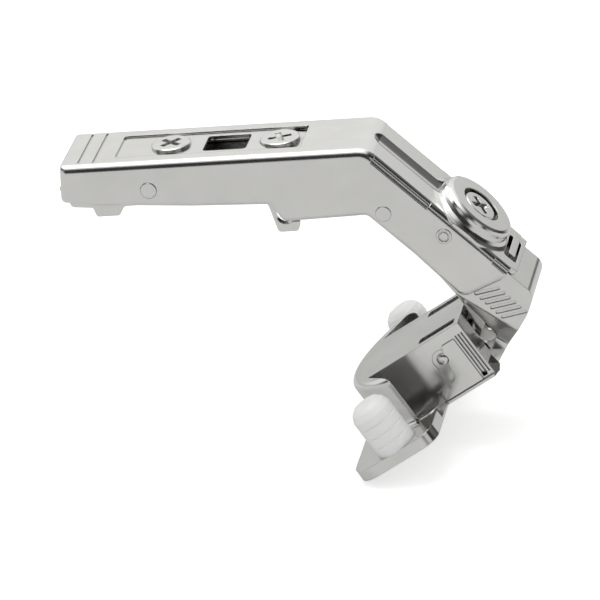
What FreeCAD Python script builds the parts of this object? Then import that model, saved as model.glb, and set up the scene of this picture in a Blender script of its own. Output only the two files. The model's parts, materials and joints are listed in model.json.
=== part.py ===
import FreeCAD, Part
import math
import os

os.makedirs("parts", exist_ok=True)
V = FreeCAD.Vector

# Arm
ARM_WIDTH = 18.3
SHEET = 1.2
BEND_X = 60.5
BEND_ANGLE = 46.6
BEND_RADIUS = 4.0
TOP_EDGE_RADIUS = 1.5
FORCED_GAP = 0.1

# Seat of the mounting plate under the channel
SEAT_X = 24.0
CHANNEL_TOP = -3.4
CHANNEL_SHEET = 1.5
CHANNEL_GAP = 0.37

# Cup
CUP_TILT = 29.5
CUP_RADIUS = 17.5
CUP_SHEET = 1.0
BOTTOM_EDGE_R = 1.4
CUP_SIDE = 9.0
CUP_END = 10.0
FLANGE_FACE = -10.6
FLANGE_RIM = -13.0
FLANGE_SHEET = 1.2

# Pivots: rivets in the arm (x, z), pins in the cup (cup x, cup z)
TILT_PIVOT = (17.1, -5.8)
INNER_PIVOT = (62.4, -13.4)
OUTER_PIVOT = (73.6, -18.75)
INNER_PIN = (2.97, -4.8)
OUTER_PIN = (7.0, -5.0)
RIVET_R = 1.5
TILT_RIVET_R = 1.55
PIN_R = 1.0
PIN_END_R = 1.2
RUNNING = 0.06
OPEN_PIVOT_PLAY = 0.66
LEVER_GAP = 0.15

# Adjusting travel
SLIDE_TRAVEL = 1.5

HALF = ARM_WIDTH / 2
CHANNEL_HALF = HALF - SHEET - CHANNEL_GAP
SLOPE = FreeCAD.Placement(V(BEND_X, 0, 0), FreeCAD.Rotation(V(0, 1, 0), BEND_ANGLE))
CUP = FreeCAD.Placement(V(65.31, 0, -41.99), FreeCAD.Rotation(V(0, 1, 0), -CUP_TILT))
ARM = FreeCAD.Placement()
SEAT_Z = CHANNEL_TOP - CHANNEL_SHEET
TO_SEAT = V(-SEAT_X, 0, -SEAT_Z)


def flat_point(plane, a, b):
    return V(a, 0, b) if plane == "xz" else V(a, b, 0)


def outline(corners, plane="xz"):
    legs = []
    for i, corner in enumerate(corners):
        here = flat_point(plane, corner[0], corner[1])
        radius = corner[2] if len(corner) > 2 else 0
        before = corners[i - 1]
        after = corners[(i + 1) % len(corners)]
        back = (flat_point(plane, before[0], before[1]) - here).normalize()
        onward = (flat_point(plane, after[0], after[1]) - here).normalize()
        if radius == 0:
            legs.append((here, None, here))
            continue
        half = back.getAngle(onward) / 2
        reach = radius / math.tan(half)
        middle = here + (back + onward).normalize() * (radius / math.sin(half) - radius)
        legs.append((here + back * reach, middle, here + onward * reach))
    edges = []
    for i, (start, middle, end) in enumerate(legs):
        if middle is not None:
            edges.append(Part.Arc(start, middle, end).toShape())
        following = legs[(i + 1) % len(legs)][0]
        if (following - end).Length > 1e-4:
            edges.append(Part.LineSegment(end, following).toShape())
    return Part.Face(Part.Wire(edges))


def slab(corners, y0, y1, frame=ARM):
    solid = outline(corners).extrude(V(0, y1 - y0, 0))
    solid.translate(V(0, y0, 0))
    solid.Placement = frame.multiply(solid.Placement)
    return solid


def plate(corners, z0, z1, frame=ARM):
    solid = outline(corners, "xy").extrude(V(0, 0, z1 - z0))
    solid.translate(V(0, 0, z0))
    solid.Placement = frame.multiply(solid.Placement)
    return solid


def block(x0, x1, y0, y1, z0, z1, frame=ARM):
    solid = Part.makeBox(x1 - x0, y1 - y0, z1 - z0, V(x0, y0, z0))
    solid.Placement = frame.multiply(solid.Placement)
    return solid


def rod(x, z, r, y0, y1, frame=ARM):
    solid = Part.makeCylinder(r, y1 - y0, V(x, y0, z), V(0, 1, 0))
    solid.Placement = frame.multiply(solid.Placement)
    return solid


def post(x, y, r, z0, z1, frame=ARM):
    solid = Part.makeCylinder(r, z1 - z0, V(x, y, z0), V(0, 0, 1))
    solid.Placement = frame.multiply(solid.Placement)
    return solid


def turned(profile, x, y, frame=ARM):
    points = [V(r, 0, z) for r, z in profile]
    face = Part.Face(Part.makePolygon(points + [points[0]]))
    solid = face.revolve(V(0, 0, 0), V(0, 0, 1), 360)
    solid.translate(V(x, y, 0))
    solid.Placement = frame.multiply(solid.Placement)
    return solid


def fuse(solids):
    return solids[0].fuse(solids[1:]).removeSplitter()


def span(side, near, far):
    return (near, far) if side > 0 else (-far, -near)


def cross_recess(x, y, top, turn, frame=ARM, reach=2.3, width=1.15, deep=1.3):
    foot = 0.55 * reach
    wedge = [(-reach, 1), (-reach, -0.25), (-foot, -deep), (foot, -deep), (reach, -0.25), (reach, 1)]
    arms = []
    for quarter in (0, 90):
        arm = slab(wedge, -width / 2, width / 2)
        arm.rotate(V(0, 0, 0), V(0, 0, 1), turn + quarter)
        arms.append(arm)
    cut = fuse(arms)
    cut.translate(V(x, y, top))
    cut.Placement = frame.multiply(cut.Placement)
    return cut


def offset_line(points, distance):
    moved = []
    for i, point in enumerate(points):
        here = V(point[0], 0, point[1])
        normals = []
        for a, b in ((i - 1, i), (i, i + 1)):
            if a < 0 or b >= len(points):
                continue
            run = V(points[b][0] - points[a][0], 0, points[b][1] - points[a][1]).normalize()
            normals.append(V(run.z, 0, -run.x))
        mitre = normals[0]
        if len(normals) == 2:
            mitre = (normals[0] + normals[1]).normalize()
            mitre = mitre / mitre.dot(normals[0])
        shifted = here + mitre * distance
        moved.append((shifted.x, shifted.z))
    return moved


def cup_to_arm(x, z):
    p = CUP.multVec(V(x, 0, z))
    return (p.x, p.z)


def slope_to_arm(s, n):
    p = SLOPE.multVec(V(s, 0, n))
    return (p.x, p.z)


def coil(radius, wire, turns, y0, y1, x, z):
    height = y1 - y0 - wire
    helix = Part.makeHelix(height / turns, height, radius)
    section = Part.makePolygon([V(radius + a * wire / 2, 0, b * wire / 2)
                                for a, b in ((-1, -1), (1, -1), (1, 1), (-1, 1), (-1, -1))])
    solid = Part.Wire(helix).makePipeShell([Part.Wire(section)], True, True)
    solid.rotate(V(0, 0, 0), V(1, 0, 0), -90)
    solid.translate(V(x, y0 + wire / 2, z))
    return solid


def save(name, solid):
    solid = solid.copy()
    solid.translate(TO_SEAT)
    kinds = len(solid.Solids)
    print(name, "solids", kinds, "valid", solid.isValid(), "volume %.1f" % solid.Volume)
    if kinds == 1:
        solid = solid.Solids[0]
    solid.exportStep("parts/" + name + ".step")


# Arm, one folded sheet
arm_side = [
    (0, 0, 0.5), (BEND_X, 0, BEND_RADIUS), (86.65, -27.7), (75.6, -32.3, 2.5),
    (67.2, -22.5, 6), (59, -13.9, 1.5), (42.6, -14.3, 1.8), (40.4, -10.55, 1.4),
    (25, -9.98), (6, -8.7), (-0.8, -7.7, 1)]
arm = slab(arm_side, -HALF, HALF)
long_edges = []
for edge in arm.Edges:
    box = edge.BoundBox
    on_side = abs(abs(box.YMin) - HALF) < 1e-3 and box.YMax - box.YMin < 1e-3
    middle = edge.valueAt((edge.FirstParameter + edge.LastParameter) / 2)
    local = SLOPE.inverse().multVec(middle)
    on_top = abs(middle.z) < 0.01 and edge.Length > 20
    on_slope = abs(local.z) < 0.01 and edge.Length > 20
    at_bend = 57 < middle.x < 62 and middle.z > -1.2
    if on_side and (on_top or on_slope or at_bend):
        long_edges.append(edge)
arm = arm.makeFillet(TOP_EDGE_RADIUS, long_edges)
inner_bend_x = BEND_X - SHEET * math.tan(math.radians(BEND_ANGLE / 2))
tip_under = slope_to_arm(60, -SHEET)
arm_hollow = [
    (-6, -SHEET), (inner_bend_x, -SHEET, BEND_RADIUS - SHEET), tip_under, (60, -70), (-6, -70)]
hollow = slab(arm_hollow, -HALF + SHEET, HALF - SHEET)

BOSS_S = 25.2
BOSS_HEIGHT = 3.0
BOSS_R = 7.9
BOSS_SHEET = 1.1
RECESS_R = 4.25
RECESS_FLOOR = 1.7
boss = turned([(0, -0.6), (BOSS_R + 1.7, -0.6), (BOSS_R + 1.7, 0), (BOSS_R + 0.8, 0.25), (BOSS_R + 0.2, 0.8),
               (BOSS_R, 1.6), (BOSS_R - 0.05, 2.3), (BOSS_R - 0.35, 2.75), (BOSS_R - 0.9, BOSS_HEIGHT),
               (0, BOSS_HEIGHT)], BOSS_S, 0, SLOPE)
boss = boss.common(slab([(15, -1), (36, -1), (36, 4), (15, 4)], -HALF, HALF, SLOPE))
boss_room = post(BOSS_S, 0, BOSS_R - BOSS_SHEET, -5, BOSS_HEIGHT - BOSS_SHEET, SLOPE)
boss_floor = post(BOSS_S, 0, RECESS_R + 1, RECESS_FLOOR - 1.0, BOSS_HEIGHT, SLOPE)
arm = arm.cut(hollow)

# The slope's long edges are rounded in two steps with a ledge between
LEDGE_IN = 0.55
LEDGE_DOWN = 1.05
UPPER_R = 1.0
LOWER_R = 0.55


def step_round(side, s0, s1):
    inner = HALF - LEDGE_IN
    def at(y, n):
        return V(s0, side * y, n)
    up = math.sin(math.pi / 4)
    first = Part.Arc(at(inner - UPPER_R, 0), at(inner - UPPER_R + UPPER_R * up, -UPPER_R + UPPER_R * up),
                     at(inner, -UPPER_R))
    second = Part.Arc(at(inner, -LEDGE_DOWN), at(inner + LOWER_R * up, -LEDGE_DOWN - LOWER_R + LOWER_R * up),
                      at(inner + LOWER_R, -LEDGE_DOWN - LOWER_R))
    rest = [at(inner + LOWER_R, -LEDGE_DOWN - LOWER_R), at(HALF + 1, -LEDGE_DOWN - LOWER_R), at(HALF + 1, 1),
            at(inner - UPPER_R, 1), at(inner - UPPER_R, 0)]
    edges = [first.toShape(), Part.makeLine(at(inner, -UPPER_R), at(inner, -LEDGE_DOWN)), second.toShape()]
    edges += [Part.makeLine(a, b) for a, b in zip(rest, rest[1:])]
    cut = Part.Face(Part.Wire(edges)).extrude(V(s1 - s0, 0, 0))
    cut.Placement = SLOPE.multiply(cut.Placement)
    return cut


for side in (-1, 1):
    for s0, s1 in ((2.4, 16.6), (33.0, 45)):
        arm = arm.cut(step_round(side, s0, s1))
arm = arm.fuse(boss)
arm = arm.cut(boss_room.cut(boss_floor))
arm = arm.cut(post(BOSS_S, 0, RECESS_R, RECESS_FLOOR, 5, SLOPE))
BOSS_SHANK_R = 2.0
arm = arm.cut(post(BOSS_S, 0, BOSS_SHANK_R + RUNNING, -5, 5, SLOPE))

# Openings and pressed lines of the arm's top
WINDOW = [(27.5, -3.8, 0.8), (36.1, -3.8, 0.8), (36.1, 3.8, 0.8), (27.5, 3.8, 0.8)]
arm = arm.cut(plate(WINDOW, -3, 1))
PANEL_DEPTH = 0.35
PANEL = [(10.4, -5.5, 0.8), (47.2, -5.5, 0.8), (47.2, 5.5, 0.8), (10.4, 5.5, 0.8)]
arm = arm.cut(plate(PANEL, -PANEL_DEPTH, 1))
panel_ramp = slab([(40, -PANEL_DEPTH), (40, 1), (47.2, 1), (47.2, -0.75)], -5.5, 5.5)
arm = arm.cut(panel_ramp)
arm = arm.cut(block(44.2, 46.4, 4.4, 5.5, -2, 1))
for x in (3.55, 6.53):
    arm = arm.cut(block(x - 0.2, x + 0.2, -7.4, 7.4, -0.22, 1))
DEPTH_SCREW_X = 20.7
SIDE_SCREW_X = 42.3
DEPTH_SHANK_R = 2.5
SIDE_SHANK_R = 1.9
SIDE_HEAD_R = 3.9
SIDE_HEAD_FOOT = -0.65
arm = arm.cut(post(DEPTH_SCREW_X, 0, DEPTH_SHANK_R + RUNNING, -3, 1))
arm = arm.cut(post(SIDE_SCREW_X, 0, SIDE_SHANK_R + RUNNING, -3, 1))
arm = arm.cut(post(SIDE_SCREW_X, 0, SIDE_HEAD_R + RUNNING, SIDE_HEAD_FOOT, 1))
TROUGH_HALF = 2.4
TROUGH_DEEP = 0.75
TROUGH_R = (TROUGH_HALF ** 2 + TROUGH_DEEP ** 2) / (2 * TROUGH_DEEP)
TROUGH_LIFT = TROUGH_R - TROUGH_DEEP
TROUGH_START = 2.2
TROUGH_END = 17.5
trough = Part.makeCylinder(TROUGH_R, TROUGH_END - TROUGH_START, V(TROUGH_START, 0, TROUGH_LIFT), V(1, 0, 0))
ramp = Part.makeCone(TROUGH_LIFT, TROUGH_R, 1.8, V(TROUGH_START - 1.8, 0, TROUGH_LIFT), V(1, 0, 0))
trough = trough.fuse(ramp)
trough.Placement = SLOPE.multiply(trough.Placement)
arm = arm.cut(trough)
TONGUE_WINDOW = [(34.2, -4.7, 0.6), (37.2, -4.7, 0.6), (37.2, 4.7, 0.6), (34.2, 4.7, 0.6)]
arm = arm.cut(plate(TONGUE_WINDOW, -2, 1, SLOPE))
tongue = plate([(35.0, -3.5, 0.4), (36.5, -3.5, 0.4), (36.5, 5.2), (35.0, 5.2)], -SHEET, 0.3, SLOPE)
arm = arm.fuse(tongue)
for side in (-1, 1):
    y0, y1 = span(side, 7.5, 12)
    arm = arm.cut(block(36.6, 42, y0, y1, -3.4, 2, SLOPE))
arm = arm.cut(rod(TILT_PIVOT[0], TILT_PIVOT[1], TILT_RIVET_R + RUNNING, -12, 12))
for pivot in (INNER_PIVOT, OUTER_PIVOT):
    arm = arm.cut(rod(pivot[0], pivot[1], RIVET_R, -12, 12))
save("arm", arm.removeSplitter())

# Rivets of the arm, heads a little proud
HEAD_PROUD = 0.15
inner_rivet = rod(INNER_PIVOT[0], INNER_PIVOT[1], RIVET_R, -HALF - HEAD_PROUD, HALF + HEAD_PROUD)
save("inner_rivet", inner_rivet)
outer_rivet = rod(OUTER_PIVOT[0], OUTER_PIVOT[1], RIVET_R, -HALF - HEAD_PROUD, HALF + HEAD_PROUD)
for side in (-1, 1):
    y0, y1 = span(side, HALF, HALF + 1)
    ring = rod(OUTER_PIVOT[0], OUTER_PIVOT[1], 1.1, y0, y1)
    ring = ring.cut(rod(OUTER_PIVOT[0], OUTER_PIVOT[1], 0.8, -12, 12))
    outer_rivet = outer_rivet.cut(ring)
save("outer_rivet", outer_rivet)
carriage_rivet = rod(TILT_PIVOT[0], TILT_PIVOT[1], TILT_RIVET_R, -HALF - HEAD_PROUD, HALF + HEAD_PROUD)
save("carriage_rivet", carriage_rivet)

# Base channel that clips on the plate
C = CHANNEL_HALF
channel_side = [
    (0.8, CHANNEL_TOP, 1), (46.5, CHANNEL_TOP, 1), (46.5, -9.6, 0.8), (46.0, -12.0, 0.5),
    (45.2, -16.6, 0.8), (41.2, -16.6, 0.8), (39.8, -10.6, 1), (36, -9.4, 1), (11.5, -9.4, 1),
    (10.3, -11.3, 0.6), (5.8, -11.3, 0.6), (5.2, -9.4, 0.3), (0.8, -9.0, 1)]
channel = slab(channel_side, -C, C)
channel = channel.cut(block(-5, 60, -C + CHANNEL_SHEET, C - CHANNEL_SHEET, -30, SEAT_Z))
channel = channel.cut(block(-5, 6.5, -C + CHANNEL_SHEET, C - CHANNEL_SHEET, -30, 0))
slot = [(TILT_PIVOT[0] - SLIDE_TRAVEL, TILT_PIVOT[1]), (TILT_PIVOT[0] + SLIDE_TRAVEL, TILT_PIVOT[1])]
SLOT_R = TILT_RIVET_R + RUNNING
channel = channel.cut(fuse([
    rod(slot[0][0], slot[0][1], SLOT_R, -12, 12), rod(slot[1][0], slot[1][1], SLOT_R, -12, 12),
    block(slot[0][0], slot[1][0], -12, 12, slot[0][1] - SLOT_R, slot[0][1] + SLOT_R)]))
NUT_R = 2.7
NUT_SLOT_R = NUT_R + 0.15
nut_slot = fuse([
    post(SIDE_SCREW_X - SLIDE_TRAVEL, 0, NUT_SLOT_R, -6, -3),
    post(SIDE_SCREW_X + SLIDE_TRAVEL, 0, NUT_SLOT_R, -6, -3),
    block(SIDE_SCREW_X - SLIDE_TRAVEL, SIDE_SCREW_X + SLIDE_TRAVEL, -NUT_SLOT_R, NUT_SLOT_R, -6, -3)])
channel = channel.cut(nut_slot)
HOOK = (42.9, -13.1)
HOOK_R = 1.9
channel = channel.cut(fuse([
    rod(HOOK[0], HOOK[1], HOOK_R, -12, 12),
    block(HOOK[0], 50, -12, 12, HOOK[1] - 1.5, HOOK[1] + 1.5)]))
CLIP_PIVOT = (8.0, -7.5)
CLIP_PIN_R = 1.0
channel = channel.cut(rod(CLIP_PIVOT[0], CLIP_PIVOT[1], CLIP_PIN_R, -12, 12))
save("base_channel", channel.removeSplitter())

clip_pin = rod(CLIP_PIVOT[0], CLIP_PIVOT[1], CLIP_PIN_R, -C - 0.1, C + 0.1)
save("clip_pin", clip_pin)

# Clip lever with its finger at the rear
CLIP_HALF = 5.6
clip_side = [
    (-1.3, -5.3, 0.4), (2.4, -5.5, 1), (5.2, -6.0, 1), (8.0, -5.7, 1.5), (9.9, -7.3, 1.2), (10.6, -10.4, 0.5),
    (9.4, -10.9, 0.5), (7.6, -9.3, 1), (3.2, -6.9, 1), (-1.3, -6.4, 0.4)]
clip = slab(clip_side, -CLIP_HALF, CLIP_HALF)
clip = clip.cut(rod(CLIP_PIVOT[0], CLIP_PIVOT[1], CLIP_PIN_R + RUNNING, -12, 12))
clip = clip.cut(block(4.6, 20, -CLIP_HALF + 1.2, CLIP_HALF - 1.2, -12, -2))
save("clip_lever", clip.removeSplitter())
clip_spring = coil(1.6, 0.5, 3, -3.6, 3.6, CLIP_PIVOT[0], CLIP_PIVOT[1])
save("clip_spring", clip_spring)

# Screw that sets the depth, its eccentric under the sheet
depth_head = turned([(0, PANEL_DEPTH * -1), (3.85, -PANEL_DEPTH), (3.85, 0.15), (3.6, 0.35), (0, 0.35)],
                    DEPTH_SCREW_X, 0)
depth_neck = post(DEPTH_SCREW_X, 0, DEPTH_SHANK_R, -1.65, 0)
depth_screw = fuse([depth_head, depth_neck]).cut(cross_recess(DEPTH_SCREW_X, 0, 0.35, 50))
save("depth_screw", depth_screw)
save("depth_cam", post(DEPTH_SCREW_X, 0, 4.6, -2.9, -1.65))

# Screw that sets the overlay, and its nut on the channel
side_head = turned([(0, SIDE_HEAD_FOOT), (SIDE_HEAD_R, SIDE_HEAD_FOOT), (SIDE_HEAD_R, 0.05),
                    (SIDE_HEAD_R - 0.2, 0.2), (0, 0.2)], SIDE_SCREW_X, 0)
side_shank = post(SIDE_SCREW_X, 0, SIDE_SHANK_R, -6.4, 0)
side_screw = fuse([side_head, side_shank]).cut(cross_recess(SIDE_SCREW_X, 0, 0.2, 20))
save("side_screw", side_screw)
NUT_PLAY = 0.15
NUT_LIFT = 0.05
side_nut = fuse([
    post(SIDE_SCREW_X, 0, NUT_R, -6.6, -2.6),
    plate([(SIDE_SCREW_X - 3.6, -4.6, 1), (SIDE_SCREW_X + 3.6, -4.6, 1),
           (SIDE_SCREW_X + 3.6, 4.6, 1), (SIDE_SCREW_X - 3.6, 4.6, 1)], CHANNEL_TOP + NUT_LIFT, -2.6)])
side_nut = side_nut.cut(post(SIDE_SCREW_X, 0, SIDE_SHANK_R + NUT_PLAY, -9, 0))
save("side_nut", side_nut)

# Screw in the boss and the cam it turns
boss_head = turned([(0, RECESS_FLOOR), (3.6, RECESS_FLOOR), (3.6, 2.45), (3.35, 2.75), (0, 2.75)],
                   BOSS_S, 0, SLOPE)
boss_shank = post(BOSS_S, 0, BOSS_SHANK_R, -0.9, 2.0, SLOPE)
boss_screw = fuse([boss_head, boss_shank]).cut(cross_recess(BOSS_S, 0, 2.75, 48, SLOPE))
save("boss_screw", boss_screw)
boss_cam = post(BOSS_S, 0, 4.0, -0.6, 0.45, SLOPE).cut(post(BOSS_S, 0, BOSS_SHANK_R, -3, 3, SLOPE))
save("boss_cam", boss_cam)

# Outer lever, one folded sheet with a narrow neck
LEVER_HALF = HALF - SHEET - LEVER_GAP
NECK_HALF = 3.5
NECK_SHEET = 1.0
FOLD_FROM = (13.6, 3.55)
FOLD_TO = (18.5, -7.9)
TAPER = 5.2
fold_turn = math.degrees(math.atan2(FOLD_TO[1] - FOLD_FROM[1], FOLD_TO[0] - FOLD_FROM[0]))
FOLD = CUP.multiply(FreeCAD.Placement(V(FOLD_FROM[0], 0, FOLD_FROM[1]),
                                      FreeCAD.Rotation(V(0, 1, 0), -fold_turn)))


def funnel(wide, narrow, start, length, round_wide=1.2, round_narrow=1.5):
    half = [(-40, wide), (start, wide, round_wide), (start + length, narrow, round_narrow), (40, narrow)]
    corners = [(-y, x) + tuple(r) for x, y, *r in half]
    corners += [(y, x) + tuple(r) for x, y, *r in reversed(half)]
    points = [(c[0], -c[1]) + tuple(c[2:]) for c in corners]
    face = outline(points, "xy")
    face.rotate(V(0, 0, 0), V(0, 0, 1), 90)
    face.rotate(V(0, 0, 0), V(0, 1, 0), 90)
    solid = face.extrude(V(160, 0, 0))
    solid.translate(V(-80, 0, 0))
    solid.Placement = FOLD.multiply(solid.Placement)
    return solid


web_top = -SHEET - FORCED_GAP
web_line = [slope_to_arm(10, web_top), slope_to_arm(43.5, web_top), (87.7, -36.6), (84.9, -40.7),
            cup_to_arm(11.1, -12.04)]
run = V(web_line[4][0] - web_line[3][0], 0, web_line[4][1] - web_line[3][1]).normalize()
web_far = (web_line[4][0] + run.x * 25, web_line[4][1] + run.z * 25)
left_top = slope_to_arm(20.2, -4.6)
eye_left = slope_to_arm(22.6 - 2.0, -3.36)
outer_side = [
    slope_to_arm(22.6, web_top), web_line[1] + (2.5,), web_line[2] + (5,), web_line[3] + (20,),
    web_line[4], cup_to_arm(9.9, -12.7), cup_to_arm(8.23, -9.95), cup_to_arm(7.6, -7.1),
    cup_to_arm(9.5, -4.6), cup_to_arm(9.9, -8.0) + (0.8,), cup_to_arm(12.9, -9.2) + (1.5,),
    cup_to_arm(13.2, -3.2) + (8,), cup_to_arm(12.9, 4.2) + (2,), (70.5, -26, 1),
    slope_to_arm(20.6, -5.6), eye_left]
outer_lever = slab(outer_side, -LEVER_HALF, LEVER_HALF)
EYE_R = PIN_R + OPEN_PIVOT_PLAY + 0.64
outer_lever = outer_lever.fuse([
    rod(OUTER_PIVOT[0], OUTER_PIVOT[1], -web_top + 0 + 0.76, -LEVER_HALF, LEVER_HALF),
    rod(OUTER_PIN[0], OUTER_PIN[1], EYE_R, -LEVER_HALF, LEVER_HALF, CUP)])
outer_lever = outer_lever.common(funnel(LEVER_HALF, NECK_HALF, 0, TAPER))
inner_line = offset_line([web_line[0], web_line[1], web_line[2], web_line[3], web_far], SHEET)
room = [inner_line[0], inner_line[1] + (1.3,), inner_line[2] + (4,), inner_line[3] + (18,), inner_line[4],
        (20, -90), (20, -5)]
inside = slab(room, -LEVER_HALF, LEVER_HALF)
inside = inside.common(funnel(LEVER_HALF - SHEET, NECK_HALF - NECK_SHEET, 0.5, TAPER))
outer_lever = outer_lever.cut(inside)
web_stop = slab([cup_to_arm(13.3, -7), cup_to_arm(13.3, -16), cup_to_arm(0, -16), cup_to_arm(0, -7)],
                -NECK_HALF + NECK_SHEET, NECK_HALF - NECK_SHEET)
outer_lever = outer_lever.cut(web_stop)
outer_lever = outer_lever.cut(rod(OUTER_PIVOT[0], OUTER_PIVOT[1], RIVET_R + RUNNING, -12, 12))
outer_lever = outer_lever.cut(rod(OUTER_PIN[0], OUTER_PIN[1], PIN_R + OPEN_PIVOT_PLAY, -12, 12, CUP))
for i in range(6):
    stripe = plate([(-2.6, -0.32, 0.3), (2.6, -0.32, 0.3), (2.6, 0.32, 0.3), (-2.6, 0.32, 0.3)], -0.2, 0.2)
    stripe.rotate(V(0, 0, 0), V(1, 0, 0), 90)
    stripe.rotate(V(0, 0, 0), V(0, 1, 0), -10.8)
    for side in (-1, 1):
        mark = stripe.copy()
        mark.translate(V(80.4 + 0.93 * i, side * LEVER_HALF, -31.2 - 1.04 * i))
        outer_lever = outer_lever.cut(mark)
save("outer_lever", outer_lever.removeSplitter())

# Inner lever, forked at the arm and narrow in the cup
LEVERS_APART = 1.0
INNER_HALF = LEVER_HALF - SHEET - LEVERS_APART
INNER_NECK = 2.25
inner_side = [
    cup_to_arm(3.6, -5.5), cup_to_arm(4.88, -5.9), cup_to_arm(7.9, -6.85) + (0.5,), cup_to_arm(9.4, -5.6) + (1.5,),
    cup_to_arm(10.7, -2.6) + (2,), cup_to_arm(10.9, 2.5) + (6,), (70.3, -26, 2), (68.3, -24.9, 1.5),
    (61.0, -16.3), (64.4, -11.0), cup_to_arm(16.2, 18.5) + (2,), cup_to_arm(16.2, 9) + (6,),
    cup_to_arm(15.5, -2.6) + (3,), cup_to_arm(10.5, -5.95) + (2,), cup_to_arm(7.2, -8.7) + (1.5,),
    cup_to_arm(4.2, -6.8), cup_to_arm(3.0, -6.3)]
inner_lever = slab(inner_side, -INNER_HALF, INNER_HALF)
inner_lever = inner_lever.fuse([
    rod(INNER_PIVOT[0], INNER_PIVOT[1], 3.1, -INNER_HALF, INNER_HALF),
    rod(INNER_PIN[0], INNER_PIN[1], 2.1, -INNER_HALF, INNER_HALF, CUP)])
inner_lever = inner_lever.common(funnel(INNER_HALF, INNER_NECK, -4.0, 3.2))
fork_room = slab([cup_to_arm(4, 9.5), cup_to_arm(15.0, 9.5) + (1,), cup_to_arm(15.0, 40), cup_to_arm(4, 40)],
                 -INNER_HALF + SHEET, INNER_HALF - SHEET)
inner_lever = inner_lever.cut(fork_room)
inner_lever = inner_lever.cut(rod(INNER_PIVOT[0], INNER_PIVOT[1], RIVET_R + RUNNING, -12, 12))
inner_lever = inner_lever.cut(rod(INNER_PIN[0], INNER_PIN[1], PIN_R + RUNNING, -12, 12, CUP))
save("inner_lever", inner_lever.removeSplitter())

# Closing springs round the inner rivet
SPRING_WIRE = 1.0
SPRING_PLAY = 0.2
SPRING_END = INNER_HALF - SHEET - SPRING_PLAY
for name, side in (("closing_spring_near", -1), ("closing_spring_far", 1)):
    y0, y1 = span(side, SPRING_PLAY, SPRING_END)
    spring = coil(RIVET_R + 0.25 + SPRING_WIRE / 2, SPRING_WIRE, 2, y0, y1, INNER_PIVOT[0], INNER_PIVOT[1])
    save(name, spring)

# Cup, one drawn sheet
cup_plan = [(-1.72, -21.16), (-11.8, -CUP_SIDE), (CUP_END, -CUP_SIDE), (CUP_END, CUP_SIDE),
            (-11.8, CUP_SIDE), (-1.72, 21.16), (-1.72, 25), (-25, 25), (-25, -25), (-1.72, -25)]
cup = post(0, 0, CUP_RADIUS, FLANGE_RIM, 0).common(plate(cup_plan, FLANGE_RIM, 0))
rims = [e for e in cup.Edges if abs(e.BoundBox.ZMin) < 1e-3 and e.BoundBox.XMax < -5 and e.Length > 20]
cup = cup.makeFillet(BOTTOM_EDGE_R, rims)
LIP_HALF = CUP_SIDE + 0.6
LIP_SHEET = 0.55
lip_plan = [(-3, -LIP_HALF), (CUP_END, -LIP_HALF, 0.5), (CUP_END, LIP_HALF, 0.5), (-3, LIP_HALF)]
ear_plan = [(-20.2, -26.2, 5), (-1.5, -26.2, 3.5), (-1.5, 26.2, 3.5), (-20.2, 26.2, 5)]
ear_inner = [(-20.2 + FLANGE_SHEET, -26.2 + FLANGE_SHEET, 4), (-1.5 - FLANGE_SHEET, -26.2 + FLANGE_SHEET, 2.5),
             (-1.5 - FLANGE_SHEET, 26.2 - FLANGE_SHEET, 2.5), (-20.2 + FLANGE_SHEET, 26.2 - FLANGE_SHEET, 4)]
flare = slab([(8.6, -10.2), (10.0, -10.2), (11.6, -12.8), (11.6, FLANGE_RIM), (8.6, FLANGE_RIM)],
             -CUP_SIDE, CUP_SIDE)
flare = flare.common(plate([(8, -CUP_SIDE), (CUP_END, -CUP_SIDE), (11.6, -6), (11.6, 6), (CUP_END, CUP_SIDE),
                            (8, CUP_SIDE)], FLANGE_RIM, 0))
ear = plate(ear_plan, FLANGE_RIM, FLANGE_FACE)
ear = ear.cut(plate(ear_inner, FLANGE_RIM - 1, FLANGE_FACE - FLANGE_SHEET))
ear = ear.fuse(post(0, 0, CUP_RADIUS, FLANGE_RIM, FLANGE_FACE).common(plate(cup_plan, FLANGE_RIM, 0)))
POCKET_Y = 16.4
POCKET_TIP = -6.0
POCKET_FLOOR = -12.4
RIB_SHEET = 1.2
for side in (-1, 1):
    near, far, out = side * (CUP_SIDE - 0.5), side * POCKET_Y, side * (POCKET_Y + RIB_SHEET)
    pocket = [(-12.6, near), (POCKET_TIP, far), (2, far), (2, near)]
    ear = ear.cut(plate(pocket, FLANGE_RIM - 1, 1))
    floor = [(-12.6, near), (POCKET_TIP, far), (POCKET_TIP, out), (-1.5, out), (-1.5, near)]
    ear = ear.fuse(plate(floor, FLANGE_RIM, POCKET_FLOOR))
    y0, y1 = sorted((far, out))
    ear = ear.fuse(block(POCKET_TIP, -1.5, y0, y1, FLANGE_RIM, FLANGE_FACE))
cup = cup.fuse([ear, plate(lip_plan, FLANGE_RIM, FLANGE_RIM + LIP_SHEET), flare]).removeSplitter()

# Round foot where the drawn wall meets the flange
FOOT_R = 1.2
foot = post(0, 0, CUP_RADIUS + FOOT_R, FLANGE_FACE - 0.1, FLANGE_FACE + FOOT_R)
foot = foot.cut(Part.makeTorus(CUP_RADIUS + FOOT_R, FOOT_R, V(0, 0, FLANGE_FACE + FOOT_R), V(0, 0, 1)))
foot = foot.cut(post(0, 0, CUP_RADIUS - 0.3, -20, 0)).common(block(-25, POCKET_TIP - 0.2, -30, 30, -12, -8))
cup = cup.fuse(foot)
t = CUP_SHEET
mouth_plan = [(-6.27, -17.24), (-13.93, -CUP_SIDE + t), (CUP_END - t, -CUP_SIDE + t),
              (CUP_END - t, CUP_SIDE - t), (-13.93, CUP_SIDE - t), (-6.27, 17.24), (-6.27, 25),
              (-25, 25), (-25, -25), (-6.27, -25)]
mouth = post(0, 0, CUP_RADIUS - t, -20, -t).common(plate(mouth_plan, -20, -t))
cup = cup.cut(mouth)
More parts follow.
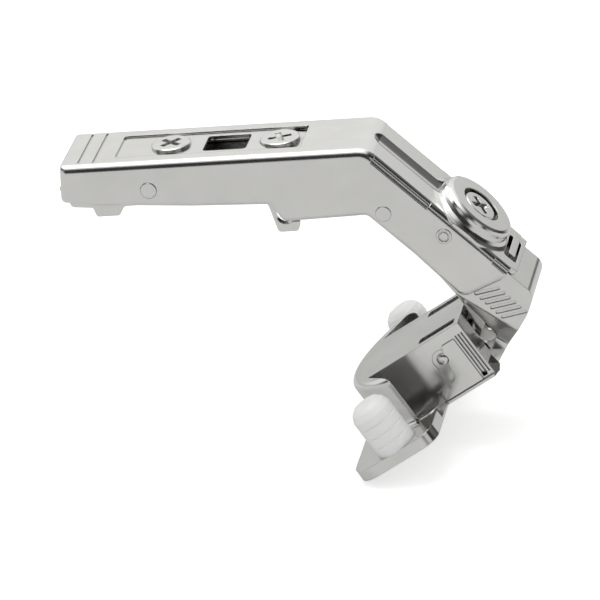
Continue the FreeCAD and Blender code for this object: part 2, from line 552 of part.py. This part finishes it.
for side in (-1, 1):
    y0, y1 = sorted((side * 5.2, side * 7.6))
    cup = cup.cut(plate([(0.2, y0, 0.4), (8.8, y0, 0.4), (8.8, y1, 0.4), (0.2, y1, 0.4)], -2, 1))
OPENING_TOP = -2.0
END_OPENING = [(-4.0, OPENING_TOP, 0.8), (4.0, OPENING_TOP, 0.8), (4.0, -9.6, 1), (8.1, FLANGE_RIM - 0.3),
               (8.1, -20), (-8.1, -20), (-8.1, FLANGE_RIM - 0.3), (-4.0, -9.6, 1)]
notch = outline(END_OPENING).extrude(V(0, 6, 0))
notch.rotate(V(0, 0, 0), V(0, 0, 1), -90)
notch.translate(V(8.0, 0, 0))
cup = cup.cut(notch)
# Pressed pad, collar and lines on the side walls
PAD_PROUD = 0.3
PAD = [(4.5, -2.3, 0.3), (7.4, -2.3, 0.3), (7.4, -12.35), (-2.6, -12.35), (-2.6, -9.9, 0.6), (2.2, -9.7, 0.6),
       (3.1, -8.7, 0.4), (3.5, -4.9)]
COLLAR_R = 2.1
LINE_HALF = 0.16
for side in (-1, 1):
    y0, y1 = span(side, CUP_SIDE - 0.2, CUP_SIDE + 2)
    cup = cup.cut(slab([(0.95, -4.9), (3.6, -4.9), (3.2, -9.4), (1.0, -9.4, 0.3)], y0, y1))
    cup = cup.cut(rod(INNER_PIN[0], INNER_PIN[1], COLLAR_R, y0, y1))
    y0, y1 = span(side, CUP_SIDE - 0.6, CUP_SIDE + PAD_PROUD)
    cup = cup.fuse(slab(PAD, y0, y1))
    y0, y1 = span(side, CUP_SIDE - 0.3, CUP_SIDE + 2)
    for x in (8.0, 8.7, 9.4):
        cup = cup.cut(block(x - LINE_HALF, x + LINE_HALF, y0, y1, -11.6, -2.0))
cup = cup.cut(block(7.7, 8.7, -12, 12, -12.0, -11.1))
cup = cup.cut(rod(INNER_PIN[0], INNER_PIN[1], PIN_END_R, -12, 12))
DOWEL_X = -10.0
DOWEL_Y = 22.5
DOWEL_PIN_R = 1.6
for side in (-1, 1):
    cup = cup.cut(post(DOWEL_X, side * DOWEL_Y, DOWEL_PIN_R, -20, -5))
cup = cup.removeSplitter()
cup.Placement = CUP.multiply(cup.Placement)
save("cup", cup)

# Plates beside the cup's walls that carry both pins
PLATE_SHEET = 0.8
for name, side in (("pin_plate_near", -1), ("pin_plate_far", 1)):
    wall = CUP_SIDE - t
    y0, y1 = span(side, wall - PLATE_SHEET, wall)
    pin_plate = slab([(0.2, -1.6, 2.4), (8.7, -1.6, 0.4), (8.7, -12.4, 0.4), (-3.4, -12.4, 0.4),
                      (-3.4, -9.0, 0.4), (0.2, -8.6, 0.5)], y0, y1, CUP)
    pin_plate = pin_plate.cut(rod(INNER_PIN[0], INNER_PIN[1], PIN_END_R, -12, 12, CUP))
    pin_plate = pin_plate.cut(rod(OUTER_PIN[0], OUTER_PIN[1], PIN_R, -12, 12, CUP))
    save(name, pin_plate)

# Pins of the two levers in the cup
PLATE_IN = CUP_SIDE - t - PLATE_SHEET
inner_cup_pin = fuse([
    rod(INNER_PIN[0], INNER_PIN[1], PIN_R, -PLATE_IN, PLATE_IN, CUP),
    rod(INNER_PIN[0], INNER_PIN[1], PIN_END_R, -CUP_SIDE + 0.05, -PLATE_IN, CUP),
    rod(INNER_PIN[0], INNER_PIN[1], PIN_END_R, PLATE_IN, CUP_SIDE - 0.05, CUP)])
save("inner_cup_pin", inner_cup_pin)
outer_cup_pin = rod(OUTER_PIN[0], OUTER_PIN[1], PIN_R, -CUP_SIDE + t, CUP_SIDE - t, CUP)
save("outer_cup_pin", outer_cup_pin)

# Nylon dowels with rings, and the pins that spread them
DOWEL_R = 4.15
DOWEL_TOP = 0.2
GROOVES = (-8.6, -6.4, -4.2)
GROOVE_DEEP = 0.22
HEAD_R = 2.2
for name, side in (("near", -1), ("far", 1)):
    profile = [(0, FLANGE_FACE), (DOWEL_R, FLANGE_FACE)]
    for foot in GROOVES:
        profile += [(DOWEL_R, foot), (DOWEL_R - GROOVE_DEEP, foot + 0.1), (DOWEL_R, foot + 0.5)]
    profile += [(DOWEL_R, DOWEL_TOP - 2.4), (DOWEL_R - 0.6, DOWEL_TOP - 1.1), (DOWEL_R - 1.5, DOWEL_TOP - 0.3),
                (DOWEL_R - 2.6, DOWEL_TOP), (0, DOWEL_TOP)]
    dowel = turned(profile, DOWEL_X, side * DOWEL_Y)
    dowel = dowel.cut(post(DOWEL_X, side * DOWEL_Y, DOWEL_PIN_R, -20, -3.4))
    dowel.Placement = CUP.multiply(dowel.Placement)
    save("dowel_" + name, dowel)
    spreader = turned([(0, -12.8), (HEAD_R, -12.8), (HEAD_R, FLANGE_FACE - FLANGE_SHEET),
                       (DOWEL_PIN_R, FLANGE_FACE - FLANGE_SHEET), (DOWEL_PIN_R, -3.6), (0, -3.6)],
                      DOWEL_X, side * DOWEL_Y, CUP)
    save("dowel_pin_" + name, spreader)
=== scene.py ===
# %% [markdown]
# A folding cabinet hinge is nearly all plated sheet steel, so its looks are a matter of
# reflections. The solids come ready from the frame, in metres, and are never moved here.
# This scene gives them finishes, light and the camera of the photograph.

# %% Load the hinge
import json
import math
import bmesh
import bpy
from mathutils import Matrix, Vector


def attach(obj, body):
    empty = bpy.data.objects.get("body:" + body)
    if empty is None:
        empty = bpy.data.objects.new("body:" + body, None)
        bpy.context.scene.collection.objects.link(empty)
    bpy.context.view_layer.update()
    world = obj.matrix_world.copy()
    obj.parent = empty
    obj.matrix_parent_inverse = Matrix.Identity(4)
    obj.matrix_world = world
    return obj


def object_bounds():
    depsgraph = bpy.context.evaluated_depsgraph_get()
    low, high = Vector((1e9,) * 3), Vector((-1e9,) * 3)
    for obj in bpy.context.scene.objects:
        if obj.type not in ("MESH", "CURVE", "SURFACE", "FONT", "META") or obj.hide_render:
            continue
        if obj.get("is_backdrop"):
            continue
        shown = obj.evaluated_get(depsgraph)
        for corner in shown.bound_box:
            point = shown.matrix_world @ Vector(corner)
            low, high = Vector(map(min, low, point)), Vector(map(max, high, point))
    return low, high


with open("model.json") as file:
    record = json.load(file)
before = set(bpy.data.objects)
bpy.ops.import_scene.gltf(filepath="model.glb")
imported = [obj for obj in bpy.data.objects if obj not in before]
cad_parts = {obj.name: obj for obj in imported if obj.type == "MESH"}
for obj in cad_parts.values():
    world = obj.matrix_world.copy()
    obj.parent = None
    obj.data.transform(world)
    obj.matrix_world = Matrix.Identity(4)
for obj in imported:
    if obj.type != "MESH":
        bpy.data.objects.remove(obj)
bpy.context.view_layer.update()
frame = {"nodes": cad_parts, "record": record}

nodes = frame["nodes"]
print("nodes of the hinge:", len(nodes))

# %% [markdown]
# The camera stands about a metre away with a long lens, so the arm's edges stay nearly
# parallel. Its place was fitted to corners of the arm that are easy to find in the photograph.
# Typing the place and the three turns keeps the view fixed, whatever is added later.

# %% Place the camera
CAMERA_PLACE = (0.229875, -0.946323, 0.377450)
CAMERA_TURN = (67.0370, 7.3472, 9.5315)
LENS_MM = 322.13
SENSOR_MM = 36.0

camera_data = bpy.data.cameras.new("camera")
camera_data.lens = LENS_MM
camera_data.sensor_width = SENSOR_MM
camera = bpy.data.objects.new("camera", camera_data)
camera.location = CAMERA_PLACE
camera.rotation_euler = [math.radians(turn) for turn in CAMERA_TURN]
bpy.context.scene.collection.objects.link(camera)
bpy.context.scene.camera = camera
print("camera distance", round(camera.location.length, 3))

# %% [markdown]
# The hinge rests over a pale sheet of paper, which catches its soft shadow. One square is
# enough for a flat sheet, and a little air under the hinge keeps the two from touching.

# %% Lay the floor
FLOOR_HALF = 3.0
FLOOR_DROP = 0.0006


def make_floor():
    low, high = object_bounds()
    level = low[2] - FLOOR_DROP
    across = [-FLOOR_HALF, FLOOR_HALF]
    corners = [(x, y, level) for y in across for x in across]
    mesh = bpy.data.meshes.new("floor")
    mesh.from_pydata(corners, [], [(0, 1, 3, 2)])
    floor = bpy.data.objects.new("floor", mesh)
    bpy.context.scene.collection.objects.link(floor)
    floor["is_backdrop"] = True
    return floor


floor = make_floor()
print("floor level", round(floor.data.vertices[0].co.z, 4))

# %% [markdown]
# Finishes and light are both built from nodes, and a few steps come back in most of them. Small
# helpers keep the later cells short. The first ones start a material, give it its surface,
# and choose between two shaders by a share from 0 to 1.

# %% Make helpers for shaders
def material_of(name):
    made = bpy.data.materials.new(name)
    made.use_nodes = True
    made.node_tree.nodes.clear()
    return made, made.node_tree


def surface(tree, shader):
    output = tree.nodes.new("ShaderNodeOutputMaterial")
    tree.links.new(shader, output.inputs["Surface"])


def choose(tree, share, first, second):
    made = tree.nodes.new("ShaderNodeMixShader")
    tree.links.new(share, made.inputs["Fac"])
    tree.links.new(first, made.inputs[1])
    tree.links.new(second, made.inputs[2])
    return made.outputs["Shader"]


def glow(tree, strength):
    made = tree.nodes.new("ShaderNodeEmission")
    made.inputs["Strength"].default_value = strength
    return made.outputs["Emission"]


print("helpers for shaders are ready")

# %% [markdown]
# The next ones work on values. A fade runs from one number to another between two places, a
# ladder turns a value into tones, and a cloud is noise. Noise is what keeps a surface from
# looking like one flat colour.

# %% Make helpers for values
def fade(tree, value, start, end, low=0.0, high=1.0, curve="SMOOTHSTEP"):
    made = tree.nodes.new("ShaderNodeMapRange")
    made.interpolation_type = curve
    made.inputs["From Min"].default_value = start
    made.inputs["From Max"].default_value = end
    made.inputs["To Min"].default_value = low
    made.inputs["To Max"].default_value = high
    tree.links.new(value, made.inputs["Value"])
    return made.outputs["Result"]


def combine(tree, how, first, second=None):
    made = tree.nodes.new("ShaderNodeMath")
    made.operation = how
    tree.links.new(first, made.inputs[0])
    if second is not None:
        tree.links.new(second, made.inputs[1])
    return made.outputs["Value"]


def colour_ladder(tree, value, steps):
    ladder = tree.nodes.new("ShaderNodeValToRGB")
    stops = ladder.color_ramp.elements
    while len(stops) < len(steps):
        stops.new(0.5)
    for stop, (place, colour) in zip(stops, steps):
        stop.position = place
        stop.color = (*colour, 1)
    tree.links.new(value, ladder.inputs["Fac"])
    return ladder.outputs["Color"]


def grey_ladder(tree, value, steps, blue=1.0):
    return colour_ladder(tree, value, [(place, (grey, grey, grey * blue)) for place, grey in steps])


def cloud(tree, scale, place=None, detail=2.0, roughness=0.5):
    made = tree.nodes.new("ShaderNodeTexNoise")
    made.inputs["Scale"].default_value = scale
    made.inputs["Detail"].default_value = detail
    made.inputs["Roughness"].default_value = roughness
    if place is not None:
        tree.links.new(place, made.inputs["Vector"])
    return made.outputs["Fac"]


def object_place(tree):
    return tree.nodes.new("ShaderNodeTexCoord").outputs["Object"]


def split_axes(tree, vector):
    axes = tree.nodes.new("ShaderNodeSeparateXYZ")
    tree.links.new(vector, axes.inputs["Vector"])
    return axes.outputs


print("helpers for values are ready")

# %% [markdown]
# Mirror-like metal shows the paper as it is lit, a light grey, and only the camera sees it as
# clean white: Light Path tells the two kinds of ray apart. Far out in front and to the right
# the metal sees the paper end in the dark of the studio.

# %% Make the paper
PAPER_WHITE = 0.62
PAPER_TONES = [(0.0, 0.70), (1.0, 0.73)]
PAPER_GRAIN = 40.0
PAPER_FRONT = (-0.85, -0.35)
PAPER_RIGHT = (0.60, 0.22)
NIGHT_GREY = 0.03


def paper_material():
    made, tree = material_of("paper")
    diffuse = tree.nodes.new("ShaderNodeBsdfDiffuse")
    tones = grey_ladder(tree, cloud(tree, PAPER_GRAIN), PAPER_TONES)
    tree.links.new(tones, diffuse.inputs["Color"])
    lit = diffuse.outputs["BSDF"]
    axes = split_axes(tree, object_place(tree))
    front = fade(tree, axes["Y"], *PAPER_FRONT, curve="LINEAR")
    right = fade(tree, axes["X"], *PAPER_RIGHT, curve="LINEAR")
    mirrored = choose(tree, combine(tree, "MULTIPLY", front, right), glow(tree, NIGHT_GREY), lit)
    seen = tree.nodes.new("ShaderNodeAddShader")
    tree.links.new(lit, seen.inputs[0])
    tree.links.new(glow(tree, PAPER_WHITE), seen.inputs[1])
    path = tree.nodes.new("ShaderNodeLightPath")
    for_metal = choose(tree, path.outputs["Is Glossy Ray"], lit, mirrored)
    surface(tree, choose(tree, path.outputs["Is Camera Ray"], for_metal, seen.outputs["Shader"]))
    return made


floor.data.materials.append(paper_material())
print("paper:", floor.data.materials[0].name)

# %% [markdown]
# Bright metal has hardly a colour of its own: it shows what stands round it. A photographer
# hangs a large soft lamp overhead and keeps the room in front dark. The flat top then shows
# the pale back of the tent, and each rounded edge gets a white line with a black one below.

# %% Hang the lamps
LAMPS = {
    "overhead": ((-0.10, 0.05, 1.00), 0.80, 3.2),
}
AIM = Vector((0.02, 0.0, -0.01))

for name, (place, width, watts) in LAMPS.items():
    lamp_data = bpy.data.lights.new(name, "AREA")
    lamp_data.size = width
    lamp_data.energy = watts
    lamp = bpy.data.objects.new(name, lamp_data)
    lamp.location = place
    lamp.rotation_euler = (AIM - Vector(place)).to_track_quat("-Z", "Y").to_euler()
    bpy.context.scene.collection.objects.link(lamp)
print("lamps:", ", ".join(LAMPS))

# %% [markdown]
# The tent itself is the world. Its brightness depends on how high a direction points, with one
# ladder of greys for the back half and another, nearly black up to a steep angle, for the
# half behind the camera. Each ladder is a list of pairs: a height and the grey it has there.

# %% Shade the two halves of the tent
BACK_GREYS = [(0.00, 0.36), (0.06, 0.52), (0.16, 0.80), (0.40, 0.84), (0.60, 1.0), (0.80, 1.0)]
FRONT_GREYS = [(0.00, 0.02), (0.66, 0.03), (0.84, 0.90), (1.00, 1.0)]
HALVES_MEET = (-0.20, 0.25)
TENT_BLUE = 0.985


def tent_colour(tree, axes):
    tent = tree.nodes.new("ShaderNodeMix")
    tent.data_type = "RGBA"
    tree.links.new(fade(tree, axes["Y"], *HALVES_MEET), tent.inputs["Factor"])
    tree.links.new(grey_ladder(tree, axes["Z"], FRONT_GREYS, TENT_BLUE), tent.inputs["A"])
    tree.links.new(grey_ladder(tree, axes["Z"], BACK_GREYS, TENT_BLUE), tent.inputs["B"])
    return tent.outputs["Result"]


print("greys in the tent:", len(BACK_GREYS) + len(FRONT_GREYS))

# %% [markdown]
# The right side of the tent is turned down, because the sloping faces of the real hinge are
# darker than its top. The low corner on the right is dimmer still. Both are fades over the
# direction, so no hard border can show in the metal.

# %% Dim the right side
DARK_SIDE = (0.43, 0.64)
DARK_GREY = 0.15
DIM_SIDE = (0.15, 0.38)
DIM_HEIGHT = (0.17, 0.05)
DIM_GREY = 0.25


def tent_strength(tree, axes):
    right = fade(tree, axes["X"], *DARK_SIDE, 1.0, DARK_GREY, "LINEAR")
    corner = combine(tree, "MULTIPLY", fade(tree, axes["X"], *DIM_SIDE),
                     fade(tree, axes["Z"], *DIM_HEIGHT))
    dim = fade(tree, corner, 0.0, 1.0, 1.0, DIM_GREY, "LINEAR")
    return combine(tree, "MULTIPLY", right, dim)


print("the right side keeps", DARK_GREY, "of its light")

# %% [markdown]
# Seen from behind, bare metal would mirror only the dark front. Two low pale cards, one at each
# side in front, give it something light to show. The camera's own view hardly meets them.

# %% Hang two low cards
CARD_GREY = 0.62
CARD_TINT = (1.0, 1.0, 0.985)
CARD_SIDE = (0.42, 0.58)
CARD_FRONT = (0.30, 0.45)
CARD_BACK = (0.0, -0.1)
CARD_FOOT = (0.02, 0.10)
CARD_TOP = (0.44, 0.34)


def side_cards(tree, axes):
    sideways = fade(tree, combine(tree, "ABSOLUTE", axes["X"]), *CARD_SIDE)
    off_middle = fade(tree, combine(tree, "ABSOLUTE", axes["Y"]), *CARD_FRONT)
    not_behind = fade(tree, axes["Y"], *CARD_BACK)
    above = fade(tree, axes["Z"], *CARD_FOOT)
    below = fade(tree, axes["Z"], *CARD_TOP)
    place = combine(tree, "MULTIPLY", combine(tree, "MULTIPLY", sideways, off_middle), not_behind)
    height = combine(tree, "MULTIPLY", above, below)
    return combine(tree, "MULTIPLY", place, height)


print("cards reach up to", CARD_TOP[0])

# %% [markdown]
# Only mirrored rays see the tent. Matt things such as the dowels are lit by one even grey, and
# the camera sees clean white, so the picture's background stays white whatever the tent does.

# %% Put up the tent
SOFT_GREY = 0.68
SOFT_TINT = (1.0, 1.0, 0.99)
CLEAN_WHITE = (1.0, 1.0, 1.0)


def backdrop(tree, colour, strength):
    made = tree.nodes.new("ShaderNodeBackground")
    made.inputs["Color"].default_value = (*colour, 1)
    made.inputs["Strength"].default_value = strength
    return made


def make_world():
    world = bpy.data.worlds.new("tent")
    world.use_nodes = True
    tree = world.node_tree
    tree.nodes.clear()
    place = tree.nodes.new("ShaderNodeTexCoord")
    axes = split_axes(tree, place.outputs["Generated"])
    tent = backdrop(tree, CLEAN_WHITE, 1.0)
    tree.links.new(tent_colour(tree, axes), tent.inputs["Color"])
    tree.links.new(tent_strength(tree, axes), tent.inputs["Strength"])
    card = backdrop(tree, CARD_TINT, CARD_GREY)
    mirrored = choose(tree, side_cards(tree, axes), tent.outputs["Background"],
                      card.outputs["Background"])
    soft = backdrop(tree, SOFT_TINT, SOFT_GREY)
    white = backdrop(tree, CLEAN_WHITE, 1.0)
    path = tree.nodes.new("ShaderNodeLightPath")
    light = choose(tree, path.outputs["Is Glossy Ray"], soft.outputs["Background"], mirrored)
    shown = choose(tree, path.outputs["Is Camera Ray"], light, white.outputs["Background"])
    output = tree.nodes.new("ShaderNodeOutputWorld")
    tree.links.new(shown, output.inputs["Surface"])
    return world


bpy.context.scene.world = make_world()
bpy.context.scene.view_settings.view_transform = "Standard"
print("tent:", bpy.context.scene.world.name)

# %% [markdown]
# The metal's colour is painted darker as shade wherever it is closed in: where two sheets meet, in
# the screw crosses and round the rivet heads. The Ambient Occlusion node measures how closed-in a
# point is, and a ColorRamp turns that into a painted dark line of shade, which paint on flat faces
# could never follow so well.

# %% Darken the crevices
CREVICE_REACH = 0.0013
CREVICE_TONES = [(0.26, 0.14), (0.54, 0.80), (0.78, 1.0)]
CREVICE_RAYS = 8
MM_PER_M = 1000


def painted_crevice_shade(tree):
    hollow = tree.nodes.new("ShaderNodeAmbientOcclusion")
    hollow.samples = CREVICE_RAYS
    hollow.inputs["Distance"].default_value = CREVICE_REACH
    return grey_ladder(tree, hollow.outputs["AO"], CREVICE_TONES)


print("crevices darken within", CREVICE_REACH * MM_PER_M, "mm of a corner")

# %% [markdown]
# Satin nickel is a warm grey metal with a soft gloss. A flat metal would look like plastic foil,
# so its tone and gloss drift a little over the sheet, fine rolling marks roughen it, and the
# Bevel node softens the light on its sharp sheared edges.

# %% Make the plated steels
PATCHES = 90.0
PATCH_DETAIL = 7.0
PATCH_ROUGHNESS = 0.72
PATCH_SPAN = (0.3, 0.7)
ROLLING_MARKS = 1400.0
MARK_STRENGTH = 0.018
MARK_DEPTH = 0.0002
TONE_DRIFT = 0.05
GLOSS_DRIFT = (-0.04, 0.05)
SHEARED_EDGE = 0.00022
EDGE_RAYS = 4


def bump(tree, height, strength, depth):
    made = tree.nodes.new("ShaderNodeBump")
    made.inputs["Strength"].default_value = strength
    made.inputs["Distance"].default_value = depth
    tree.links.new(height, made.inputs["Height"])
    return made


def steel_tone_and_painted_shade(tree, patches, colour):
    dark = [channel * (1 - TONE_DRIFT) for channel in colour]
    light = [min(1.0, channel * (1 + TONE_DRIFT)) for channel in colour]
    tone = colour_ladder(tree, patches, [(PATCH_SPAN[0], dark), (PATCH_SPAN[1], light)])
    shade = tree.nodes.new("ShaderNodeMix")
    shade.data_type = "RGBA"
    shade.blend_type = "MULTIPLY"
    shade.inputs["Factor"].default_value = 1.0
    tree.links.new(tone, shade.inputs["A"])
    # the metal's colour is multiplied by the painted crevice shade
    tree.links.new(painted_crevice_shade(tree), shade.inputs["B"])
    return shade.outputs["Result"]


def plated_steel(name, colour, gloss):
    made, tree = material_of(name)
    metal = tree.nodes.new("ShaderNodeBsdfPrincipled")
    metal.inputs["Metallic"].default_value = 1.0
    place = object_place(tree)
    patches = cloud(tree, PATCHES, place, PATCH_DETAIL, PATCH_ROUGHNESS)
    tree.links.new(steel_tone_and_painted_shade(tree, patches, colour), metal.inputs["Base Color"])
    rough = fade(tree, patches, 0.0, 1.0, gloss + GLOSS_DRIFT[0], gloss + GLOSS_DRIFT[1], "LINEAR")
    tree.links.new(rough, metal.inputs["Roughness"])
    edge = tree.nodes.new("ShaderNodeBevel")
    edge.samples = EDGE_RAYS
    edge.inputs["Radius"].default_value = SHEARED_EDGE
    marks = bump(tree, cloud(tree, ROLLING_MARKS, place), MARK_STRENGTH, MARK_DEPTH)
    tree.links.new(edge.outputs["Normal"], marks.inputs["Normal"])
    tree.links.new(marks.outputs["Normal"], metal.inputs["Normal"])
    surface(tree, metal.outputs["BSDF"])
    return made


nickel = plated_steel("satin_nickel", (0.80, 0.795, 0.775), 0.17)
inner_steel = plated_steel("inner_steel", (0.70, 0.695, 0.68), 0.22)
spring_steel = plated_steel("spring_steel", (0.30, 0.30, 0.31), 0.32)
print("steels:", nickel.name, inner_steel.name, spring_steel.name)

# %% [markdown]
# The dowels are moulded from unfilled nylon. Light sinks into it, so it is milky with no hard
# shadows. Subsurface scattering gives that, and a faint cloudiness keeps it from looking painted.

# %% Make the nylon
NYLON_TONES = [(0.0, (0.90, 0.90, 0.885)), (1.0, (0.96, 0.96, 0.95))]
NYLON_CLOUDS = 260.0
NYLON_GLOSS = 0.42
LIGHT_SHARE = 0.6
LIGHT_SPREAD = (0.9, 0.9, 0.85)
LIGHT_REACH = 0.002
NYLON_BUMPS = 0.05
BUMP_DEPTH = 0.0003


def milky_nylon():
    made, tree = material_of("milky_nylon")
    body = tree.nodes.new("ShaderNodeBsdfPrincipled")
    body.inputs["Roughness"].default_value = NYLON_GLOSS
    body.inputs["Subsurface Weight"].default_value = LIGHT_SHARE
    body.inputs["Subsurface Radius"].default_value = LIGHT_SPREAD
    body.inputs["Subsurface Scale"].default_value = LIGHT_REACH
    clouds = cloud(tree, NYLON_CLOUDS, object_place(tree))
    tree.links.new(colour_ladder(tree, clouds, NYLON_TONES), body.inputs["Base Color"])
    bumps = bump(tree, clouds, NYLON_BUMPS, BUMP_DEPTH)
    tree.links.new(bumps.outputs["Normal"], body.inputs["Normal"])
    surface(tree, body.outputs["BSDF"])
    return made


nylon = milky_nylon()
print("nylon:", nylon.name)

# %% [markdown]
# Every solid of the hinge names the slot that its material belongs in. Going by the slots gives
# each of them its finish in one loop, so no rivet or spring can be forgotten.

# %% Paint the nodes by their slots
FINISHES = {
    "nickel": nickel,
    "inner_steel": inner_steel,
    "spring_steel": spring_steel,
    "nylon": nylon,
}

for subpart in frame["record"]["subparts"]:
    node = nodes[subpart["node"]]
    finish = FINISHES[subpart["material_slot"]]
    if not node.material_slots:
        node.data.materials.append(finish)
    for place in node.material_slots:
        place.material = finish
print("finished nodes:", len(nodes))

# %% [markdown]
# Two pressed details of the cup are too soft for plain solids. The pin's ends are riveted over
# into low domes, and the pockets beside the side walls have rolled lips. Both sit on the
# tilted cup, so a helper turns the cup's own millimetres into the scene's metres.

# %% Set out the cup's own axes
CUP_ORIGIN = (41.31, 0.0, -37.09)
CUP_TILT = math.radians(29.5)
SHARP_ANGLE = math.radians(40)


def in_cup(x, y, z):
    along = CUP_ORIGIN[0] + x * math.cos(CUP_TILT) - z * math.sin(CUP_TILT)
    up = CUP_ORIGIN[2] + x * math.sin(CUP_TILT) + z * math.cos(CUP_TILT)
    return Vector((along, y, up)) / MM_PER_M


def pressed_piece(name, points, faces):
    mesh = bpy.data.meshes.new(name)
    mesh.from_pydata([in_cup(*point) for point in points], [], faces)
    shape = bmesh.new()
    shape.from_mesh(mesh)
    bmesh.ops.recalc_face_normals(shape, faces=shape.faces)
    shape.to_mesh(mesh)
    shape.free()
    mesh.polygons.foreach_set("use_smooth", [True] * len(mesh.polygons))
    mesh.set_sharp_from_angle(angle=SHARP_ANGLE)
    mesh.materials.append(nickel)
    piece = bpy.data.objects.new(name, mesh)
    bpy.context.scene.collection.objects.link(piece)
    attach(piece, "cup_body")
    return piece


print("cup stands at", [round(value, 4) for value in in_cup(0, 0, 0)])

# %% [markdown]
# A riveted pin end is a low dome. It is drawn as rings of points that shrink towards the middle,
# which gives a clean round highlight where a flat disc would show one even grey.

# %% Dome the pin's ends
PIN_PLACE = (2.97, -4.8)
PIN_FACE = 8.9
DOME_R = 1.16
DOME_HIGH = 0.32
DOME_RINGS = 8
ROUND = 32


def pin_dome(name, side):
    points = []
    for ring in range(DOME_RINGS):
        lift = math.pi / 2 * ring / DOME_RINGS
        radius = DOME_R * math.cos(lift)
        out = PIN_FACE + DOME_HIGH * math.sin(lift)
        for i in range(ROUND):
            turn = 2 * math.pi * i / ROUND
            points.append((PIN_PLACE[0] + radius * math.cos(turn), side * out,
                           PIN_PLACE[1] + radius * math.sin(turn)))
    points.append((PIN_PLACE[0], side * (PIN_FACE + DOME_HIGH), PIN_PLACE[1]))
    faces = [list(range(ROUND))]
    for ring in range(DOME_RINGS - 1):
        start = ring * ROUND
        for i in range(ROUND):
            j = (i + 1) % ROUND
            faces.append([start + i, start + j, start + ROUND + j, start + ROUND + i])
    last = (DOME_RINGS - 1) * ROUND
    faces += [[last + i, last + (i + 1) % ROUND, len(points) - 1] for i in range(ROUND)]
    return pressed_piece(name, points, faces)


domes = [pin_dome("pin_dome_near", -1), pin_dome("pin_dome_far", 1)]
print("domes:", len(domes))

# %% [markdown]
# Beside each side wall the flange is cut away to a pocket, and its border is rolled up into a
# thin lip. One rounded profile is carried along the border's path: two straight runs with a
# bend between them. The same points, mirrored, make the lip of the far pocket.

# %% Roll the lips of the pockets
LIP_START = (-6.3, 16.3)
LIP_TURN = (-1.8, 16.3)
LIP_END = (-1.8, 9.1)
LIP_BEND = 1.9
LIP_HALF = 0.24
LIP_TOP = -10.42
LIP_FOOT = -12.6
BEND_STEPS = 10
CROWN_STEPS = 8


def lip_path():
    path = [(LIP_START, (0.0, 1.0))]
    middle = (LIP_TURN[0] - LIP_BEND, LIP_TURN[1] - LIP_BEND)
    for step in range(BEND_STEPS + 1):
        turn = math.pi / 2 * (1 - step / BEND_STEPS)
        out = (math.cos(turn), math.sin(turn))
        path.append(((middle[0] + LIP_BEND * out[0], middle[1] + LIP_BEND * out[1]), out))
    path.append((LIP_END, (1.0, 0.0)))
    return path


def lip_profile():
    profile = [(-LIP_HALF, LIP_FOOT)]
    for step in range(CROWN_STEPS + 1):
        turn = math.pi * (1 - step / CROWN_STEPS)
        profile.append((LIP_HALF * math.cos(turn), LIP_TOP - LIP_HALF * (1 - math.sin(turn))))
    profile.append((LIP_HALF, LIP_FOOT))
    return profile


def pocket_lip(name, side):
    profile = lip_profile()
    rows = len(profile)
    points = []
    for (x, y), out in lip_path():
        points += [(x + out[0] * off, side * (y + out[1] * off), high) for off, high in profile]
    faces = []
    stations = len(points) // rows
    for station in range(stations - 1):
        for row in range(rows):
            a = station * rows + row
            b = station * rows + (row + 1) % rows
            faces.append([a, b, b + rows, a + rows])
    faces.append(list(range(rows)))
    faces.append(list(range(len(points) - rows, len(points))))
    return pressed_piece(name, points, faces)


lips = [pocket_lip("pocket_lip_near", -1), pocket_lip("pocket_lip_far", 1)]
print("pocket lips:", len(lips))
